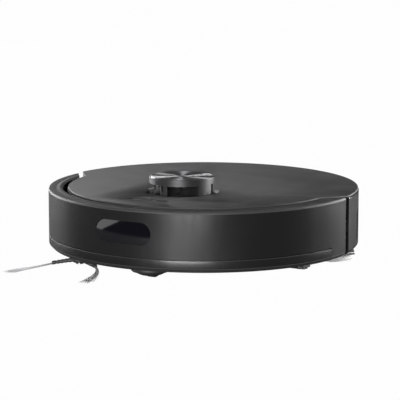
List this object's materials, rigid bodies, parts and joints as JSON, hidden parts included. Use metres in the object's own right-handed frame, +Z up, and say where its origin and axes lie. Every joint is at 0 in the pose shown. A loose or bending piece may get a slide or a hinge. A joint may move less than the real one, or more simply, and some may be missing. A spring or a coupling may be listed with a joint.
{
  "type": "robot vacuum",
  "caption": "Round robot vacuum with a scanning turret, sprung bumper, side brush, main brush, drive wheels and a rear mop.",
  "frame": {"origin": "on the floor under the centre of the round body", "axes": "+Z up, -Y towards the front (bumper and window), +X towards the machine's left side"},
  "size_m": [0.3496, 0.3521, 0.1032],
  "materials": {
    "body_plastic": "satin moulded plastic, fine grain",
    "deck_plastic": "matt plastic with a fine even texture",
    "inner_plastic": "plain black moulding",
    "window_gloss": "deep gloss",
    "brushed_disc": "circular brushed, dark",
    "steel": "plated",
    "rubber": "matt rubber",
    "tyre": "matt rubber tread",
    "bristle": "fine nylon filaments",
    "grey_plastic": "grey moulding",
    "mop_fabric": "looped microfibre",
    "board": "lacquered circuit board",
    "cell": "shrink sleeve",
    "contact": "plated spring contact"
  },
  "bodies": {
    "chassis": {"base_tray": "inner_plastic", "rear_shell": "body_plastic", "inner_frame": "inner_plastic", "battery": "cell", "battery_door": "inner_plastic", "main_board": "board", "suction_fan": "grey_plastic", "suction_duct": "inner_plastic", "speaker": "inner_plastic", "brush_motor": "grey_plastic", "bumper_switch_left": "grey_plastic", "bumper_switch_right": "grey_plastic", "camera_module": "inner_plastic", "turret_dish": "inner_plastic", "turret_motor": "steel", "turret_belt": "rubber", "caster_socket": "inner_plastic", "brush_trough": "inner_plastic", "roller_bearing_left": "grey_plastic", "roller_bearing_right": "grey_plastic", "brush_guard": "grey_plastic", "spinner_motor": "grey_plastic", "drop_sensor_1": "window_gloss", "drop_sensor_2": "window_gloss", "drop_sensor_3": "window_gloss", "drop_sensor_4": "window_gloss", "charge_contact_left": "contact", "charge_contact_right": "contact"},
    "bumper": {"bumper_shell": "body_plastic", "bumper_strip": "body_plastic", "camera_window": "window_gloss"},
    "cover": {"top_cover": "deck_plastic"},
    "power_key": {"power_button": "deck_plastic"},
    "home_key": {"home_button": "deck_plastic"},
    "turret": {"turret_cap": "body_plastic", "turret_disc": "brushed_disc"},
    "rotor": {"turret_rotor": "inner_plastic"},
    "left_arm": {"left_wheel_arm": "grey_plastic", "left_wheel_motor": "steel"},
    "left_wheel": {"left_tyre": "tyre", "left_wheel_hub": "inner_plastic"},
    "right_arm": {"right_wheel_arm": "grey_plastic", "right_wheel_motor": "steel"},
    "right_wheel": {"right_tyre": "tyre", "right_wheel_hub": "inner_plastic"},
    "caster": {"caster_fork": "inner_plastic", "caster_axle": "steel"},
    "caster_roll": {"caster_wheel": "rubber"},
    "main_brush": {"brush_roller": "rubber"},
    "side_brush": {"spinner_hub": "rubber", "spinner_bristles_1": "bristle", "spinner_bristles_2": "bristle", "spinner_bristles_3": "bristle", "spinner_screw": "steel"},
    "tank": {"dust_tank": "body_plastic", "tank_lid": "inner_plastic", "tank_filter": "mop_fabric", "mop_plate": "grey_plastic", "mop_cloth": "mop_fabric"},
    "tank_latch": {"tank_release_button": "body_plastic"}
  },
  "joints": [
    {"name": "bumper_press", "type": "slide", "parent": "chassis", "child": "bumper", "axis": [0, 1, 0], "range_m": [0, 0.004], "stiffness_N_per_m": 400, "springref_m": -0.003},
    {"name": "cover_lift", "type": "slide", "parent": "chassis", "child": "cover", "axis": [0, 0, 1], "range_m": [0, 0.04]},
    {"name": "power_press", "type": "slide", "parent": "chassis", "child": "power_key", "axis": [0, 0, -1], "range_m": [0, 0.0008], "stiffness_N_per_m": 900, "springref_m": -0.0006},
    {"name": "home_press", "type": "slide", "parent": "chassis", "child": "home_key", "axis": [0, 0, -1], "range_m": [0, 0.0008], "stiffness_N_per_m": 900, "springref_m": -0.0006},
    {"name": "turret_press", "type": "slide", "parent": "chassis", "child": "turret", "axis": [0, 0, -1], "range_m": [0, 0.0008], "stiffness_N_per_m": 1200, "springref_m": -0.002},
    {"name": "turret_spin", "type": "hinge", "parent": "chassis", "child": "rotor", "pos_m": [0, -0.0485, 0.0765], "axis": [0, 0, 1], "continuous": true},
    {"name": "left_suspension", "type": "hinge", "parent": "chassis", "child": "left_arm", "pos_m": [0.09775, -0.032, 0.042], "axis": [-1, 0, 0], "range_deg": [0, 28], "stiffness_Nm_per_rad": 0.3, "springref_deg": 51.57},
    {"name": "left_wheel_spin", "type": "hinge", "parent": "left_arm", "child": "left_wheel", "pos_m": [0.117, 0.01, 0.035], "axis": [1, 0, 0], "continuous": true},
    {"name": "right_suspension", "type": "hinge", "parent": "chassis", "child": "right_arm", "pos_m": [-0.09775, -0.032, 0.042], "axis": [-1, 0, 0], "range_deg": [0, 28], "stiffness_Nm_per_rad": 0.3, "springref_deg": 51.57},
    {"name": "right_wheel_spin", "type": "hinge", "parent": "right_arm", "child": "right_wheel", "pos_m": [-0.117, 0.01, 0.035], "axis": [1, 0, 0], "continuous": true},
    {"name": "caster_swivel", "type": "hinge", "parent": "chassis", "child": "caster", "pos_m": [0, -0.115, 0.0284], "axis": [0, 0, 1], "continuous": true},
    {"name": "caster_spin", "type": "hinge", "parent": "caster", "child": "caster_roll", "pos_m": [0, -0.111, 0.012], "axis": [1, 0, 0], "continuous": true},
    {"name": "main_brush_spin", "type": "hinge", "parent": "chassis", "child": "main_brush", "pos_m": [0, -0.035, 0.023], "axis": [1, 0, 0], "continuous": true},
    {"name": "side_brush_spin", "type": "hinge", "parent": "chassis", "child": "side_brush", "pos_m": [-0.098, -0.107, 0.0142], "axis": [0, 0, 1], "continuous": true},
    {"name": "tank_slide", "type": "slide", "parent": "chassis", "child": "tank", "axis": [0, 1, 0], "range_m": [0, 0.12]},
    {"name": "latch_press", "type": "slide", "parent": "tank", "child": "tank_latch", "axis": [0, -1, 0], "range_m": [0, 0.0018], "stiffness_N_per_m": 600, "springref_m": -0.001}
  ]
}
